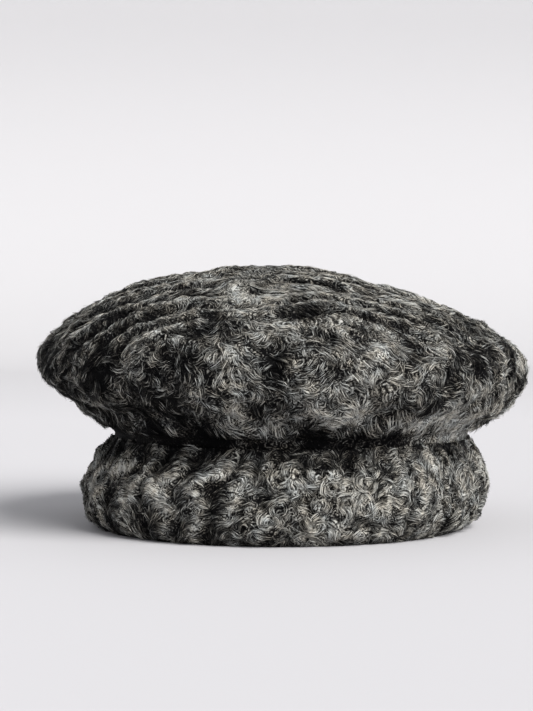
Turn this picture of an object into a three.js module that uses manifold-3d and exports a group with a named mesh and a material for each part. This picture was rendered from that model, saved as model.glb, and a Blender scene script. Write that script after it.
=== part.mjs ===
// A karakul lambskin cap: a wide domed crown of ridged, curled pelt over a turned-up cuff.
// Millimetres, +Z up, the front towards -Y, the origin in the plane that the cuff's foot
// rests on, under the middle of the rim.
import * as THREE from "three";
import Module from "manifold-3d";

const wasm = await Module();
wasm.setup();

// Head opening and walls
const headWidth = 176; // clear width of the opening, side to side
const headDepth = 194; // clear depth of the opening, front to back
const neckWall = 8.5; // pelt with its pile pressed flat, where the cuff covers the crown's neck
const crownWall = 8; // pelt with its curled pile over the crown
const seamGap = 0.4; // between two pieces that are sewn together

// Cuff
const cuffHeight = 49;
const cuffWall = 13.5; // at its fullest, outside the neck
const lipHeight = 4.5; // the part of the cuff turned in under the neck

// Crown
const neckShow = 2; // neck between the cuff's top and the crown's underside
const undersideRise = 39; // from the neck up to the rim seam
const domeRise = 53; // from the rim seam to the top
const crownOverhang = 37; // how far the rim stands out past the neck
const rimLean = 3; // how far the rim is lower on the right than at the middle
const topShift = 7; // how far the top lies to the left of the rim's middle
const neckShift = 5.5; // how far the neck's top lies to the right of the cuff's foot and the rim
const sideSag = 1.5; // how far the underside hangs lower on the right, half way down

// Curls
const ridgePitch = 13; // between the ridges that cross the top from side to side
const ridgeHeight = 3;
const ridgeSweep = 11; // how far a ridge comes forward on its way to the right rim
const tuftHeight = 2.8; // the swirled tufts of the underside
const tuftPitch = 24;
const curlPitch = 16.5; // between the pipe curls that stand up around the cuff
const curlHeight = 3.2;
const curlLean = 9; // how far round a curl leans between the foot and the top of the cuff

// Levels and half sizes that follow from the sizes above
const neckTop = cuffHeight + neckShow;
const rimLevel = neckTop + undersideRise;
const rimOut = neckWall + crownOverhang; // outward from the head opening
const halfWidth = headWidth / 2 + rimOut;
const halfDepth = headDepth / 2 + rimOut;
const cuffIn = neckWall + seamGap;
const cuffGirth = Math.PI * ((headWidth + headDepth) / 2 + 2 * (cuffIn + cuffWall));
const rimGirth = Math.PI * (halfWidth + halfDepth);

// The dome from its top to the rim seam, as shares of the half width and of the rise
const domeOutline = [
  { out: 0, up: 1 },
  { out: 0.13, up: 0.955 },
  { out: 0.29, up: 0.885 },
  { out: 0.45, up: 0.8 },
  { out: 0.6, up: 0.695 },
  { out: 0.73, up: 0.575 },
  { out: 0.84, up: 0.44 },
  { out: 0.92, up: 0.285 },
  { out: 0.975, up: 0.14 },
  { out: 1, up: 0 },
];

// The underside from the rim seam to the neck, as shares of the overhang and of the underside's rise
const undersideOutline = [
  { out: 1, up: 1 },
  { out: 0.99, up: 0.87 },
  { out: 0.965, up: 0.77 },
  { out: 0.91, up: 0.66 },
  { out: 0.81, up: 0.545 },
  { out: 0.67, up: 0.43 },
  { out: 0.5, up: 0.32 },
  { out: 0.33, up: 0.205 },
  { out: 0.17, up: 0.09 },
  { out: 0, up: 0 },
];

// The cuff's outer face from its foot to its top, as shares of its wall and height
const cuffOutline = [
  { out: 0.15, up: 0 },
  { out: 0.42, up: 0.035 },
  { out: 0.72, up: 0.11 },
  { out: 0.88, up: 0.21 },
  { out: 0.96, up: 0.33 },
  { out: 0.97, up: 0.45 },
  { out: 0.9, up: 0.56 },
  { out: 0.76, up: 0.66 },
  { out: 0.58, up: 0.77 },
  { out: 0.37, up: 0.88 },
  { out: 0.14, up: 1 },
];

// Where a ridge or curl is sampled across its width, and how high the pile stands there
const pipeSection = [0, 0.82, 1, 0.82];
const pipeSunk = 0.42; // the share of that height that lies below the outlines above

// A share between 0 and 1 that is always the same for a whole number and a salt
function vary(number, salt) {
  const wave = Math.sin(number * 12.9898 + salt * 78.233) * 43758.5453;
  return wave - Math.floor(wave);
}

// A smooth step from 0 at the low value to 1 at the high one
function smooth(value, low, high) {
  return THREE.MathUtils.smoothstep(value, low, high);
}

// A smooth line through an outline's rows, in millimetres
function outlineCurve(outline, outSize, upSize) {
  return new THREE.CatmullRomCurve3(
    outline.map((row) => new THREE.Vector3(row.out * outSize, row.up * upSize, 0)),
  );
}

// A point a given way out from the head opening's oval, at an angle round it
function around(angle, out, z) {
  return new THREE.Vector3(
    (headWidth / 2 + out) * Math.cos(angle),
    (headDepth / 2 + out) * Math.sin(angle),
    z,
  );
}

// The cap sits a little askew: its neck leans to the right on the cuff's foot, and over it
// the rim and the underside hang lower on the right while the top lies to the left
function slouch(point) {
  const lifted = smooth(point.z, neckTop, rimLevel);
  const domed = Math.max(0, point.z - rimLevel) / domeRise;
  const rightward = point.x / halfWidth;
  const leaned = Math.min(1, point.z / neckTop) * (1 - lifted);
  point.z -= (rimLean + 4 * sideSag * (1 - lifted)) * lifted * rightward;
  point.x += neckShift * leaned - topShift * domed;
  return point;
}

// Joins rings of equal length into one closed solid. The two ends are closed by points,
// or without them the last ring meets the first.
function loft(rings, firstPoint, lastPoint) {
  const size = rings[0].length;
  const points = rings.flat();
  const triangles = [];
  const strips = firstPoint ? rings.length - 1 : rings.length;
  for (let r = 0; r < strips; r++) {
    for (let i = 0; i < size; i++) {
      const next = (i + 1) % size;
      const here = r * size;
      const there = ((r + 1) % rings.length) * size;
      triangles.push([here + i, here + next, there + i]);
      triangles.push([here + next, there + next, there + i]);
    }
  }
  if (firstPoint) {
    const lastRing = (rings.length - 1) * size;
    points.push(firstPoint, lastPoint);
    for (let i = 0; i < size; i++) {
      const next = (i + 1) % size;
      triangles.push([points.length - 2, next, i]);
      triangles.push([points.length - 1, lastRing + i, lastRing + next]);
    }
  }
  return solidOf(points, triangles);
}

// A closed solid with its faces turned outwards
function solidOf(points, triangles) {
  const volume = triangles.reduce(
    (sum, [a, b, c]) => sum + points[a].dot(points[b].clone().cross(points[c])),
    0,
  );
  const facing = volume < 0 ? triangles.map(([a, b, c]) => [a, c, b]) : triangles;
  const mesh = new wasm.Mesh({
    numProp: 3,
    vertProperties: new Float32Array(points.flatMap((p) => [p.x, p.y, p.z])),
    triVerts: new Uint32Array(facing.flat()),
  });
  return new wasm.Manifold(mesh);
}

// A named mesh of a solid, in its own material
function meshOf(name, solid, material) {
  const { vertProperties, triVerts } = solid.getMesh();
  const geometry = new THREE.BufferGeometry();
  geometry.setAttribute("position", new THREE.BufferAttribute(vertProperties, 3));
  geometry.setIndex(new THREE.BufferAttribute(triVerts, 1));
  geometry.computeVertexNormals();
  const mesh = new THREE.Mesh(geometry, material);
  mesh.name = name;
  return mesh;
}

// A point of a dome over the plan disc, raised by a lift along the dome's outward normal
function domePoint(curve, width, depth, p, q, lift) {
  const share = Math.min(1, Math.hypot(p, q));
  const place = curve.getPointAt(share);
  const tangent = curve.getTangentAt(share);
  const inverse = share > 0 ? 1 / share : 0;
  const out = place.x / width;
  const normal = new THREE.Vector2(-tangent.y, tangent.x).normalize();
  return new THREE.Vector3(
    p * inverse * (out * width + lift * normal.x),
    q * inverse * (out * depth + lift * normal.x),
    rimLevel + place.y + lift * normal.y,
  );
}

// Front to back places of the rows of a dome. A row runs from rim to rim, and the rows
// crowd together at both ends so that the rim stays round there.
function domeRows(count) {
  const ends = [0.07, 0.14, 0.2].map(Math.cos);
  const last = Math.cos(0.26);
  const rows = Array.from({ length: count + 1 }, (_, i) => ({
    q: last * ((2 * i) / count - 1),
    step: i,
  }));
  const front = ends.map((q) => ({ q: -q, step: 0 }));
  const back = ends.map((q) => ({ q, step: 0 })).reverse();
  return [...front, ...rows, ...back];
}

// How high the pile stands on the dome: ridges from side to side, broken along their
// length and parted along the spine of the pelt
function ridgeLift(row, p, q) {
  const ridge = Math.floor(row.step / pipeSection.length);
  const across = pipeSection[row.step % pipeSection.length];
  const broken = 0.72 + 0.28 * Math.sin(p * (5 + 4 * vary(ridge, 1)) + 6 * vary(ridge, 2));
  const spine = 1 - 0.45 * Math.exp(-(((p + 0.05) / 0.07) ** 2));
  const fade = 1 - smooth(Math.hypot(p, q), 0.8, 0.98);
  return ridgeHeight * (across * broken * spine - pipeSunk) * fade;
}

function crownTopSolid() {
  const curve = outlineCurve(domeOutline, halfWidth, domeRise);
  const columns = 16;
  const ridges = Math.round((2 * halfDepth) / ridgePitch);
  const slices = domeRows(ridges * pipeSection.length).map((row) => {
    const reach = Math.sqrt(1 - row.q ** 2);
    return Array.from({ length: columns + 1 }, (_, i) => {
      const p = reach * Math.sin((Math.PI / 2) * ((2 * i) / columns - 1));
      const inside = 1 - p ** 2 - row.q ** 2;
      const sweep = (ridgeSweep / halfDepth) * Math.max(0, p);
      const waver = 0.013 * Math.sin(6 * p + 3 * Math.sin(5 * row.q));
      const q = row.q - (sweep + waver) * Math.max(0, inside);
      return slouch(domePoint(curve, halfWidth, halfDepth, p, q, ridgeLift(row, p, q)));
    });
  });
  const endPoint = (side) => slouch(new THREE.Vector3(0, side * halfDepth, rimLevel));
  const outer = loft(slices, endPoint(-1), endPoint(1));
  return outer.subtract(domeHollow());
}

// The room inside the dome, which runs on a little below the rim seam
function domeHollow() {
  const width = halfWidth - crownWall;
  const depth = halfDepth - crownWall;
  const curve = outlineCurve(domeOutline, width, domeRise - crownWall);
  const rings = [];
  const levels = 7;
  const sides = 48;
  const below = 3;
  for (let level = 0; level < levels; level++) {
    const share = 1 - level / levels;
    rings.push(ringOf(sides, (angle) =>
      slouch(domePoint(curve, width, depth, share * Math.cos(angle), share * Math.sin(angle), 0)),
    ));
  }
  const foot = rings[0].map((point) => point.clone().setZ(point.z - below));
  const top = slouch(new THREE.Vector3(0, 0, rimLevel + domeRise - crownWall));
  const middle = new THREE.Vector3(0, 0, rimLevel - below);
  return loft([foot, ...rings], middle, top);
}

// One closed ring of points or sections, given one for each angle and its place in the ring
function ringOf(sides, pointAt) {
  return Array.from({ length: sides }, (_, i) => pointAt((2 * Math.PI * i) / sides, i));
}

// How high the swirled tufts stand on the underside
function tuftLift(angle, down) {
  const tufts = Math.round(rimGirth / tuftPitch);
  const swirl = Math.sin(tufts * angle + 2.4 * Math.sin(5 * angle) + 5 * down);
  const cross = Math.cos(0.7 * tufts * angle + 1.7 * Math.sin(3 * angle) - 7 * down);
  const fade = smooth(down, 0, 0.22) * (1 - smooth(down, 0.72, 0.98));
  return tuftHeight * 0.5 * (swirl + 0.6 * cross) * fade;
}

// The crown's lower panel: in from the rim seam to the neck, and down inside the cuff
function crownSideSolid() {
  const outer = outlineCurve(undersideOutline, crownOverhang, undersideRise);
  const rows = 7;
  const sides = 88;
  const neckFoot = lipHeight + seamGap;
  const bend = { out: 0.62, up: 0.54 }; // where the inside of the panel turns up
  const section = (angle) => {
    const skin = Array.from({ length: rows + 1 }, (_, i) => {
      const down = i / rows;
      const place = outer.getPointAt(down);
      const tangent = outer.getTangentAt(down);
      const lift = tuftLift(angle, down);
      return slouch(around(
        angle,
        neckWall + place.x - lift * tangent.y,
        neckTop + place.y - (i === 0 ? seamGap : 0) + lift * tangent.x,
      ));
    });
    const lining = [
      around(angle, neckWall, neckFoot),
      around(angle, 0, neckFoot),
      around(angle, 0, neckTop + 0.6 * crownWall),
      around(
        angle,
        crownOverhang * bend.out,
        neckTop + undersideRise * bend.up + 0.4 * crownWall,
      ),
      around(angle, rimOut - crownWall, rimLevel - seamGap),
    ].map(slouch);
    return [...skin, ...lining];
  };
  return loft(ringOf(sides, section));
}

// How high a cuff's curl stands over the outline, at a share of the way up
function curlLift(index, up, arch) {
  const curl = Math.floor(index / pipeSection.length);
  const across = pipeSection[index % pipeSection.length];
  const tall = 0.65 + 0.35 * vary(curl, 4);
  const waistAt = 0.35 + 0.4 * vary(curl, 5);
  const waist = 1 - 0.3 * Math.exp(-(((up - waistAt) / 0.09) ** 2));
  return curlHeight * arch * (across * tall * waist - pipeSunk);
}

// The turned-up cuff: pipe curls stand side by side around it, and its lip turns in under the neck
function cuffSolid() {
  const curve = outlineCurve(cuffOutline, cuffWall, cuffHeight);
  const curls = Math.round(cuffGirth / curlPitch);
  const rows = 8;
  const bevel = 0.3 * lipHeight;
  const topEdge = cuffHeight - 0.05 * cuffWall;
  const section = (angle, index) => {
    const leaning = ((2 * Math.PI * curlLean) / cuffGirth) * (0.2 + 0.8 * Math.sin(2 * angle + 0.6));
    const face = Array.from({ length: rows + 1 }, (_, i) => {
      const up = i / rows;
      const place = curve.getPointAt(up);
      const tangent = curve.getTangentAt(up);
      const arch = smooth(up, 0.1, 0.35) * (1 - smooth(up, 0.8, 1));
      const lift = curlLift(index, up, arch);
      return around(
        angle + leaning * (up - 0.5) * arch,
        cuffIn + place.x + lift * tangent.y,
        place.y - lift * tangent.x,
      );
    });
    const back = [
      around(angle, cuffIn, topEdge),
      around(angle, cuffIn, lipHeight),
      around(angle, 0, lipHeight),
      around(angle, bevel, 0),
    ];
    return [...face, ...back].map(slouch);
  };
  return loft(ringOf(curls * pipeSection.length, section));
}

const topPelt = new THREE.MeshStandardMaterial({ color: 0x45423f, roughness: 0.9, metalness: 0 });
const sidePelt = new THREE.MeshStandardMaterial({ color: 0x3c3936, roughness: 0.9, metalness: 0 });
const cuffPelt = new THREE.MeshStandardMaterial({ color: 0x5a5853, roughness: 0.9, metalness: 0 });

const cap = new THREE.Group();
cap.name = "karakul_cap";
cap.add(meshOf("crown_top", crownTopSolid(), topPelt));
cap.add(meshOf("crown_side", crownSideSolid(), sidePelt));
cap.add(meshOf("cuff", cuffSolid(), cuffPelt));

export default cap;
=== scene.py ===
"""A karakul cap of grey lambskin: a wide domed crown over a turned-up, curly cuff.

Lengths are in millimetres until a mesh is made. The crown's skin is one surface over a plan
(a, b): its distance from the middle is a share of the way down the dome, 1 at the rim seam,
and runs on past 1 over the underside to the neck. The cuff's skin is a surface over an angle
round the head and a share of the way up its outline.
"""

import bpy
import numpy as np
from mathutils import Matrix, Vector


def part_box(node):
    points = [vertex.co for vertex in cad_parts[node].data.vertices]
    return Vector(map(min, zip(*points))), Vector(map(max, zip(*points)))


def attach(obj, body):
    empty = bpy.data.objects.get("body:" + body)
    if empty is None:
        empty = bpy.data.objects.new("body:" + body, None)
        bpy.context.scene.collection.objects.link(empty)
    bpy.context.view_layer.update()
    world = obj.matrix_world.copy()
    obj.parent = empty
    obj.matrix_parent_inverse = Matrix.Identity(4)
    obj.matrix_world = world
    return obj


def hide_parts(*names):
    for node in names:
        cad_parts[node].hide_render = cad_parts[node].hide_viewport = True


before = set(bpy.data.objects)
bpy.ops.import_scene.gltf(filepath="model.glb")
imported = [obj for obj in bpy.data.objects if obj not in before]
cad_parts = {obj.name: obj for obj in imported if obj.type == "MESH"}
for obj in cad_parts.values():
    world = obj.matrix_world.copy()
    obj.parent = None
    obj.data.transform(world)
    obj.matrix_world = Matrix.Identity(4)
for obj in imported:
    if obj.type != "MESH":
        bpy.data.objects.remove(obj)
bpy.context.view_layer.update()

MM = 0.001  # metres in a millimetre
TAU = 2 * np.pi
GOLDEN_TURN = np.pi * (3 - np.sqrt(5))  # turning by it keeps places apart


def node_box(name):
    """A node's lowest and highest corner, in millimetres."""
    low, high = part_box(name)
    return np.array(low) / MM, np.array(high) / MM


top_low, top_high = node_box("crown_top")
_, cuff_high = node_box("cuff")

# Walls and heights
neck_wall = 8.5  # pelt pressed flat under the cuff
crown_wall = 8.0
seam_gap = 0.4  # between two pieces that are sewn together
cuff_wall = 13.5  # at its fullest
lip_height = 4.5  # of the cuff's edge, folded in under the neck
neck_show = 2.0  # of the neck, between the cuff and the crown
neck_tuck = 14.0  # of the neck's wool, down inside the cuff
underside_rise = 39.0  # from the neck up to the rim seam
crown_overhang = 37.0  # of the rim, past the neck
cuff_height = cuff_high[2]
neck_top = cuff_height + neck_show
rim_level = neck_top + underside_rise
dome_rise = top_high[2] - rim_level
half_width = (top_high[0] - top_low[0]) / 2
half_depth = (top_high[1] - top_low[1]) / 2
head_half_width = half_width - neck_wall - crown_overhang
head_half_depth = half_depth - neck_wall - crown_overhang
cuff_in = neck_wall + seam_gap

# The cap's lean
rim_lean = 3.0  # how far the rim is lower on the right than at the middle
top_shift = 7.0  # how far the top lies to the left
neck_shift = 5.5  # how far the neck's top lies to the right
side_sag = 1.5  # how much further the underside sags on the right, half way down

# How this cap has sagged
left_droop = 4.6  # of the left shoulder
left_tuck = 5.0  # of the underside, inwards on the left
left_swell = 1.5  # of the rim, outwards on the left
right_dent = 3.0  # on the right of the top
right_draw = 2.0  # of the rim, inwards on the right

# Curls
ridge_pitch = 13.0
ridge_height = 3.0
ridge_fullness = 1.9  # times that, before noise and wear
ridge_sweep = 11.0  # forward, on the way to the right rim
ridge_waver = 0.013  # share of the plan
ridge_end = 0.26  # angle from the front or back to the last ridge
spine_width = 0.1  # share of the plan where the two sides' ridges meet
curl_pitch = 16.5
curl_height = 4.4
curl_lean = 9.0  # sideways, from the foot to the top
pipe_sunk = 0.42  # share of a pipe's height that lies below the outlines
pile_depth = 1.1  # how far the skin under the wool lies below the outlines
seam_width = 0.02  # of the rim seam, as a share of the plan
seam_shade = 0.12  # how much darker the pelts are there

# Outlines as rows of outward and upward shares
DOME = np.array([
    (0, 1), (0.13, 0.955), (0.29, 0.885), (0.45, 0.8), (0.6, 0.695),
    (0.73, 0.575), (0.84, 0.44), (0.92, 0.285), (0.975, 0.14), (1, 0),
])
UNDERSIDE = np.array([
    (1, 1), (0.99, 0.87), (0.965, 0.77), (0.91, 0.66), (0.81, 0.545),
    (0.67, 0.43), (0.5, 0.32), (0.33, 0.205), (0.17, 0.09), (0, 0),
])
CUFF = np.array([
    (0.15, 0), (0.42, 0.035), (0.72, 0.11), (0.88, 0.21), (0.96, 0.33), (0.97, 0.45),
    (0.9, 0.56), (0.76, 0.66), (0.58, 0.77), (0.37, 0.88), (0.14, 1),
])


def smooth(value, low, high):
    """A step from 0 at low to 1 at high: t squared times (3 - 2t)."""
    t = np.clip((value - low) / (high - low), 0, 1)
    return t * t * (3 - 2 * t)


def bell(distance, width):
    """1 at no distance, falling as e to the minus square of distance over width."""
    return np.exp(-((distance / width) ** 2))


SPAN_CUTS = 24  # points worked out between two rows of an outline


class Outline:
    """A smooth line through a table's rows, read by the share of its length."""

    def __init__(self, rows, out_size, up_size):
        """Cubics that pass through every row, cut fine, with their running length kept."""
        rows = rows * (out_size, up_size)
        ends = np.vstack([2 * rows[0] - rows[1], rows, 2 * rows[-1] - rows[-2]])
        t = np.linspace(0, 1, SPAN_CUTS, endpoint=False)[:, None]
        spans = []
        for p0, p1, p2, p3 in zip(ends, ends[1:], ends[2:], ends[3:]):
            spans.append(
                p1 + 0.5 * t * (p2 - p0 + t * (2 * p0 - 5 * p1 + 4 * p2 - p3
                + t * (3 * p1 - 3 * p2 + p3 - p0)))
            )
        self.points = np.vstack(spans + [rows[-1:]])
        steps = np.hypot(*np.diff(self.points, axis=0).T)
        self.run = np.concatenate([[0], np.cumsum(steps)])
        self.length = self.run[-1]

    def at(self, share):
        """Outward and upward place at a share of the length."""
        run = np.clip(share, 0, 1) * self.length
        return np.interp(run, self.run, self.points[:, 0]), np.interp(run, self.run, self.points[:, 1])


dome_line = Outline(DOME, half_width, dome_rise)
under_line = Outline(UNDERSIDE, crown_overhang, rim_level - neck_top)
cuff_line = Outline(CUFF, cuff_wall, cuff_height)
UNDER_SHARE = under_line.length / dome_line.length  # how far past 1 the plan runs

RANDOM_CELLS = 32  # random values along each side of the noise's cube
NOISE_SHIFT = 7.3  # cells by which the cube lies off the origin
NOISE_GAIN = 1.5  # blending flattens the values, and this stretches them again


def noise(points, cell, seed):
    """Smooth noise from -1 to 1: random values on a cube grid whose cells are that wide, blended
    across each cell by t squared times (3 - 2t) along each axis."""
    values = np.random.default_rng(seed).random((RANDOM_CELLS,) * 3) * 2 - 1
    place = points / cell + NOISE_SHIFT
    corner = np.floor(place).astype(int)
    t = place - corner
    t = t * t * (3 - 2 * t)
    total = np.zeros(points.shape[:-1])
    for step in np.ndindex(2, 2, 2):
        weight = np.where(step, t, 1 - t).prod(axis=-1)
        index = (corner + step) % RANDOM_CELLS
        total += weight * values[tuple(np.moveaxis(index, -1, 0))]
    return NOISE_GAIN * total


def vary(number, salt):
    """A share from 0 to 1, always the same for a whole number and a salt: the fraction of a sine
    that is made very large."""
    wave = np.sin(number * 12.9898 + salt * 78.233) * 43758.5453
    return wave - np.floor(wave)


def slouch(x, y, z):
    """The cap's lean: the neck goes to the right with height, the rim hangs lower on the right,
    and the top lies to the left."""
    lifted = smooth(z, neck_top, rim_level)
    domed = np.maximum(0, z - rim_level) / dome_rise
    leaned = np.minimum(1, z / neck_top) * (1 - lifted)
    drop = (rim_lean + 4 * side_sag * (1 - lifted)) * lifted * x / half_width
    return np.stack([x + neck_shift * leaned - top_shift * domed, y, z - drop], axis=-1)


def crown_skin(a, b):
    """The crown's outline surface over its plan. Inside the unit circle it is the dome, and
    outside it the underside, which comes in again to the neck. Like any worn pelt it is not quite
    even: the left shoulder droops, swells at the rim and tucks in below, and the right one has a
    shallow dent and is drawn in a little."""
    share = np.hypot(a, b)
    inverse = 1 / np.maximum(share, 1e-9)
    out, up = dome_line.at(share)
    under_out, under_up = under_line.at((share - 1) / UNDER_SHARE)
    under = share > 1
    wide = np.where(under, head_half_width + neck_wall + under_out, out)
    deep = np.where(under, head_half_depth + neck_wall + under_out, out / half_width * half_depth)
    z = np.where(under, neck_top + under_up, rim_level + up)
    droop = left_droop * smooth(-a, 0.35, 0.98) + right_dent * bell(np.hypot(a - 0.45, b - 0.05), 0.26)
    z = z - droop * (1 - smooth(share, 1.02, 1.25))
    tuck = left_tuck * bell(share - 1.2, 0.09) * smooth(-a, 0.8, 1.15) - left_swell * bell(a + 1.0, 0.15)
    tuck = tuck - right_draw * smooth(a, 0.75, 1.0) * (1 - smooth(share, 1.1, 1.25))
    return slouch(a * inverse * wide + tuck, b * inverse * deep, z)


def cuff_skin(angle, up):
    """The cuff's outer face at an angle round the head, a share of the way up its outline."""
    out, height = cuff_line.at(up)
    x = (head_half_width + cuff_in + out) * np.cos(angle)
    y = (head_half_depth + cuff_in + out) * np.sin(angle)
    return slouch(x, y, height)


def unit(vectors):
    """Vectors made one long, where they have a length."""
    return vectors / np.maximum(np.linalg.norm(vectors, axis=-1, keepdims=True), 1e-6)


def facing(skin, a, b):
    """The skin's outward normal, and how far it moves for each unit of a and of b, from
    differences over a small step."""
    step = 2e-3
    along_a = (skin(a + step, b) - skin(a - step, b)) / (2 * step)
    along_b = (skin(a, b + step) - skin(a, b - step)) / (2 * step)
    return unit(np.cross(along_a, along_b)), along_a, along_b


# The crown's pile


def ridge_phase(a, b, place):
    """Which ridge of the dome a place is on: whole numbers lie in the grooves. The ridges sweep
    forward to the right, waver by a sine and wander by noise."""
    ridges = round(2 * half_depth / ridge_pitch)
    last = np.cos(ridge_end)
    inside = np.maximum(0, 1 - a * a - b * b)
    row = b + 0
    for _ in range(3):
        waver = ridge_waver * np.sin(6 * a + 3 * np.sin(5 * row))
        row = b + (ridge_sweep / half_depth * np.maximum(0, a) + waver) * inside
    wander = 0.5 * noise(place, 42, 4) + 0.24 * noise(place, 24, 5) + 0.12 * noise(place, 9, 6)
    return (row / last + 1) / 2 * ridges + wander


def from_spine(a, b):
    """How far a place lies to the right of the pelt's spine, which runs a little askew over the
    plan from front to back."""
    return a + 0.03 - 0.1 * b


def crown_zones(a, b):
    """How much of a place's pile is ridged, from 1 over the top to 0 at the rim and further out on
    the left, with worn patches in it, and how much it belongs to the spine of the pelt, where both
    sides' ridges meet."""
    share = np.hypot(a, b) - 0.1 * smooth(-a, 0.1, 0.5)
    plan = np.stack([a * half_width, b * half_depth, 0 * share], -1)
    leftwards = 0.35 * smooth(a, 0.2, 0.7) - 0.5 * smooth(-a, 0.15, 0.4)
    worn = 0.7 * smooth(noise(plan, 27, 31) + leftwards, 0.1, 0.6)
    ridged = (1 - smooth(share, 0.76, 0.92)) * (1 - worn)
    spine = bell(from_spine(a, b), spine_width) * ridged
    return ridged, spine


def crown_tufts(place):
    """Height of the loose tufts where there are no ridges: noise in wide and in narrow tufts."""
    return 2.4 * noise(place, 17, 8) + 1.3 * noise(place, 8, 9)


def crown_relief(a, b, place):
    """Height of the pile over the outline: pipes across the dome, broken along their length, and
    over the shoulder and the underside tufts of noise, with the rim seam sunk between them."""
    share = np.hypot(a, b)
    ridged, spine = crown_zones(a, b)
    pipe = np.abs(np.sin(np.pi * ridge_phase(a, b, place))) ** 0.65
    broken = 0.9 + 0.25 * noise(place * (1, 2.4, 1), 34, 7)
    ridges = ridge_height * ridge_fullness * (pipe * broken * (1 - 0.55 * spine) - pipe_sunk)
    tufts = crown_tufts(place)
    fine = 0.4 * noise(place, 3.1, 10)
    neck = 1 - smooth(share, 1 + 0.75 * UNDER_SHARE, 1 + UNDER_SHARE)
    seam = 0.3 * bell(share - 1, seam_width)
    return (ridges * ridged + tufts * (1 - ridged) + fine) * neck - pile_depth - seam


def blend_angles(first, first_share, second, second_share):
    """The angle of two directions added together, each as long as its share."""
    x = first_share * np.cos(first) + second_share * np.cos(second)
    y = first_share * np.sin(first) + second_share * np.sin(second)
    return np.arctan2(y, x)


def crown_lie(a, b, place):
    """Angle in the plan at which the hair lies: forward and out to its own side over the ridges,
    downhill and swirled by noise elsewhere."""
    ridged, spine = crown_zones(a, b)
    side = np.clip(from_spine(a, b) / spine_width, -1, 1)
    over = 0.35 * np.cos(TAU * ridge_phase(a, b, place))
    combed = -np.pi / 2 + side * (1.0 + over)
    combed = combed + 0.4 * noise(place, 15, 11) + 1.5 * spine * noise(place, 8, 12)
    swirled = np.arctan2(b, a) + 0.5 * bell(a - 0.1, 0.5)
    swirled = swirled + 1.3 * noise(place, 24, 43) + 1.25 * noise(place, 8, 44)
    return blend_angles(combed, ridged, swirled, 1 - ridged)


# Patches of darker and of silver wool over the crown, and painted shade on the left of the rim:
# plan place, radius and change of tone
CROWN_PATCHES = (
    (-0.72, -0.70, 0.15, -0.16),
    (-0.80, -0.88, 0.26, -0.34),
    (-0.50, -1.10, 0.20, -0.36),
    # painted shade on the left of the rim, which the light from the right leaves dark
    (-1.05, -0.35, 0.34, -0.31),
    (-0.14, -0.90, 0.10, -0.20),
    (-0.03, -1.00, 0.06, -0.32),
    (-0.20, -0.76, 0.07, -0.16),
    (0.08, -0.76, 0.06, -0.18),
    (0.18, -0.87, 0.06, -0.20),
    (0.49, -1.10, 0.10, -0.16),
    (0.03, -0.68, 0.10, -0.22),
    (0.64, -0.95, 0.09, -0.18),
    (0.86, -0.48, 0.20, -0.26),
    (1.14, -0.50, 0.16, 0.26),
    (0.60, -0.64, 0.20, -0.18),
    (-0.55, -0.52, 0.16, -0.12),
    (-0.50, -0.82, 0.07, 0.24),
    (0.31, -0.92, 0.06, 0.16),
    (0.33, -1.04, 0.08, 0.16),
    (0.14, -1.20, 0.08, 0.16),
    (0.25, -1.06, 0.07, 0.20),
    (-0.20, -1.03, 0.08, 0.12),
    (0.06, -1.10, 0.07, 0.14),
    (-0.24, -0.93, 0.07, -0.14),
    (0.25, -0.56, 0.10, 0.16),
    (-0.24, -1.12, 0.08, 0.10),
    (1.02, -0.82, 0.24, 0.26),
    (0.82, -0.92, 0.10, 0.16),
    (-0.74, -1.02, 0.05, 0.30),
)


def crown_tone(a, b, place):
    """How light the wool is, from 0 to 1: noise in big and small clouds, the patches, painted shade in
    the grooves and painted highlights on the crests of the ridges, lighter tufts off them with painted
    highlights on their tops and painted shade in their hollows, and darkness to the right and painted
    shade in the crease at the neck, under the crown."""
    ridged, spine = crown_zones(a, b)
    clouds = 0.27 - 0.17 * ridged
    tone = 0.52 + 0.05 * bell(np.hypot(a, b), 0.45)
    tone = tone + 0.08 * noise(place, 34, 15) + clouds * noise(place, 10, 16)
    for at_a, at_b, radius, change in CROWN_PATCHES:
        tone = tone + change * bell(np.hypot(a - at_a, b - at_b), radius)
    phase = ridge_phase(a, b, place)
    across = phase - np.floor(phase)
    # painted shade in each groove and a painted highlight along each ridge's crest
    ridge_shading = 0.52 * bell(across - 0.62, 0.27) - 0.24 - 0.16 * (1 - smooth(across, 0, 0.2))
    ridge_shading = ridge_shading * (1 - 0.6 * spine)
    # painted shade in the crease at the neck, under the crown's overhang, less of it on the right
    crease = smooth(np.hypot(a, b), 1 + 0.62 * UNDER_SHARE, 1 + 0.9 * UNDER_SHARE)
    # off the ridges the wool is lighter, and lighter with the tufts' height: painted highlights on their
    # tops, painted shade in their hollows
    tone = tone + ridge_shading * ridged + (0.13 + 0.038 * crown_tufts(place)) * (1 - ridged)
    return tone - 0.07 * smooth(a, 0.1, 0.9) - 0.34 * crease * (1 - smooth(a, 0.35, 0.9))


def crown_bundles(_a, _b, place):
    """Places stretched so that noise on them keeps one value along a bundle of hair."""
    return place * (1.0, 0.4, 0.7)


# The cuff's pile

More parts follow.
